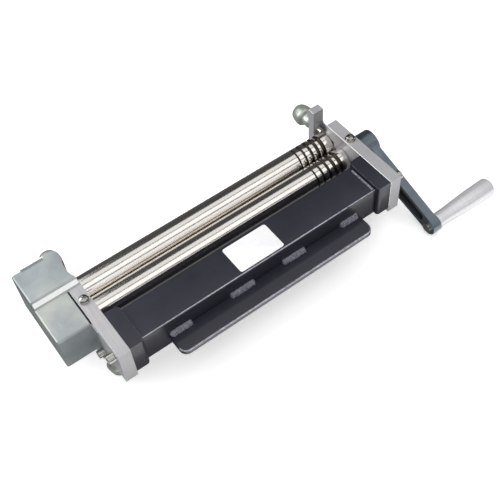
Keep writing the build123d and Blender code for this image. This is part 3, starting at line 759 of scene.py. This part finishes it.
def label():
    """Blank rounded sticker on the beam's top."""
    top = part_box("base_beam")[1][2]
    (x0, x1), (y0, y1), r = LABEL_X, LABEL_Y, LABEL_RADIUS
    corners = ((x1 - r, y1 - r), (x0 + r, y1 - r), (x0 + r, y0 + r), (x1 - r, y0 + r))
    pts = []
    for i, (cx, cy) in enumerate(corners):
        for k in range(LABEL_CORNER_STEPS + 1):
            a = math.radians(90 * i + 90 / LABEL_CORNER_STEPS * k)
            pts.append((cx + r * math.cos(a), cy + r * math.sin(a)))
    bm = bmesh.new()
    rings = []
    for inset, h in LABEL_LEVELS:
        ring = []
        for x, y in pts:
            cx = x - math.copysign(inset, x)
            cy = y - math.copysign(inset, y - (y0 + y1) / 2)
            ring.append(bm.verts.new((cx * MM, cy * MM, top + h * MM)))
        rings.append(ring)
    skin(bm, rings)
    bm.faces.new(rings[-1])
    bm.faces.new(list(reversed(rings[0])))
    ob = new_piece("blank_label", bm, STICKER, "base")


# ---- floor and light, metres ----
FLOOR_Z = CAD_BOX[0][2]
FLOOR_HALF = 6.0
# radius and height of the curve from the floor into the wall
BACKDROP = ((4.6, 0.001), (5.0, 0.04), (5.4, 0.18), (5.7, 0.45), (5.85, 0.85), (5.9, 1.4), (5.9, 7.0))
BACKDROP_SIDES = 72


def floor():
    paper = Mat("floor_paper", Base_Color=(0.9, 0.9, 0.9, 1), Roughness=0.9,
                Emission_Color=(1, 1, 1, 1), Emission_Strength=0.5).m
    bm = bmesh.new()
    bmesh.ops.create_grid(bm, x_segments=1, y_segments=1, size=FLOOR_HALF)
    ob = mesh_object("studio_floor", bm)
    ob.location = (0, 0, FLOOR_Z)
    give(ob, paper)
    ob.visible_glossy = False
    backdrop(paper)


def backdrop(mat):
    """Pale wall that curves up from the floor far behind the object, seen by the camera alone."""
    bm = bmesh.new()
    rings = []
    for r, h in BACKDROP:
        turns = [math.tau * i / BACKDROP_SIDES for i in range(BACKDROP_SIDES)]
        rings.append([bm.verts.new((r * math.cos(a), r * math.sin(a), FLOOR_Z + h)) for a in turns])
    skin(bm, rings)
    ob = mesh_object("studio_backdrop", bm)
    for poly in ob.data.polygons:
        poly.use_smooth = True
    give(ob, mat)
    ob.visible_glossy = False
    ob.visible_diffuse = False
    ob.visible_transmission = False
    ob.visible_shadow = False


AIM = Vector((0, 0.08, 0))
BOX_DISTANCE = 1.3
# name, degrees from straight up towards the front, shift along X, size, radiance;
# the first three are the bright bands mirrored in the rollers, with dark gaps between them
SOFTBOXES = (
    ("softbox_top", -12, -0.1, (2.4, 0.77), 0.8),
    ("softbox_middle", 27, -0.1, (2.4, 0.77), 1.1),
    ("softbox_front", 63, -0.1, (2.4, 0.52), 0.92),
    ("softbox_back_left", -44, -0.66, (1.3, 0.62), 2.4),
)
LEFT_BOX_AIM = Vector((-0.15, 0.08, 0))
LEFT_BOX_WAY = Vector((-0.67, 0.58, 0.46))
LEFT_BOX_DISTANCE = 1.4
FILL_HEIGHT = 1.25
CARD_Y = -0.48
CARD_LIFT = 0.002
# position and grey of the dim room, from the floor to overhead
ROOM = ((0.35, 0.12), (0.52, 0.07), (0.95, 0.05))


def area(name, size, radiance):
    li = bpy.data.lights.new(name, "AREA")
    li.shape = "RECTANGLE"
    li.size, li.size_y = size
    li.energy = radiance * math.pi * size[0] * size[1]
    ob = bpy.data.objects.new(name, li)
    bpy.context.collection.objects.link(ob)
    return ob


def room():
    """Dim world, so that polished steel mirrors dark between the softboxes."""
    w = bpy.data.worlds.new("studio")
    bpy.context.scene.world = w
    w.use_nodes = True
    t = w.node_tree
    co = t.nodes.new("ShaderNodeTexCoord")
    sep = t.nodes.new("ShaderNodeSeparateXYZ")
    ramp = t.nodes.new("ShaderNodeValToRGB")
    low, mid, high = ROOM
    ends = ramp.color_ramp.elements
    for element, (pos, grey) in ((ends[0], low), (ends[1], high)):
        element.position = pos
        element.color = (grey, grey, grey, 1)
    ramp.color_ramp.elements.new(mid[0]).color = (mid[1], mid[1], mid[1], 1)
    half = t.nodes.new("ShaderNodeMapRange")
    half.inputs["From Min"].default_value = -1.0
    t.links.new(co.outputs["Generated"], sep.inputs["Vector"])
    t.links.new(sep.outputs["Z"], half.inputs["Value"])
    t.links.new(half.outputs["Result"], ramp.inputs["Fac"])
    t.links.new(ramp.outputs["Color"], t.nodes["Background"].inputs["Color"])


def lights():
    room()
    for name, aim_deg, shift, size, radiance in SOFTBOXES:
        a = math.radians(aim_deg)
        box = area(name, size, radiance)
        box.location = AIM + Vector((shift, -BOX_DISTANCE * math.sin(a), BOX_DISTANCE * math.cos(a)))
        box.rotation_euler = (a, 0, 0)
    left = area("softbox_left", (0.9, 0.9), 2.6)
    left.location = LEFT_BOX_AIM + LEFT_BOX_DISTANCE * LEFT_BOX_WAY
    left.rotation_euler = (-LEFT_BOX_WAY).to_track_quat("-Z", "Y").to_euler()
    fill = area("fill_top", (2.4, 1.3), 1.0)
    fill.location = AIM + Vector((0, 0, FILL_HEIGHT))
    fill.visible_glossy = False
    card = area("front_card", (2.4, 0.9), 1.15)
    card.location = (0, CARD_Y, FLOOR_Z + CARD_LIFT)
    card.rotation_euler = (math.pi, 0, 0)
    card.visible_camera = False
    card.visible_diffuse = False


make_camera()
dress_cad()
rollers()
knobs()
grip()
softened_nodes()
cover_step()
end_seams()
tongue_beads()
label()
floor()
lights()
bpy.context.scene.view_settings.view_transform = "Standard"
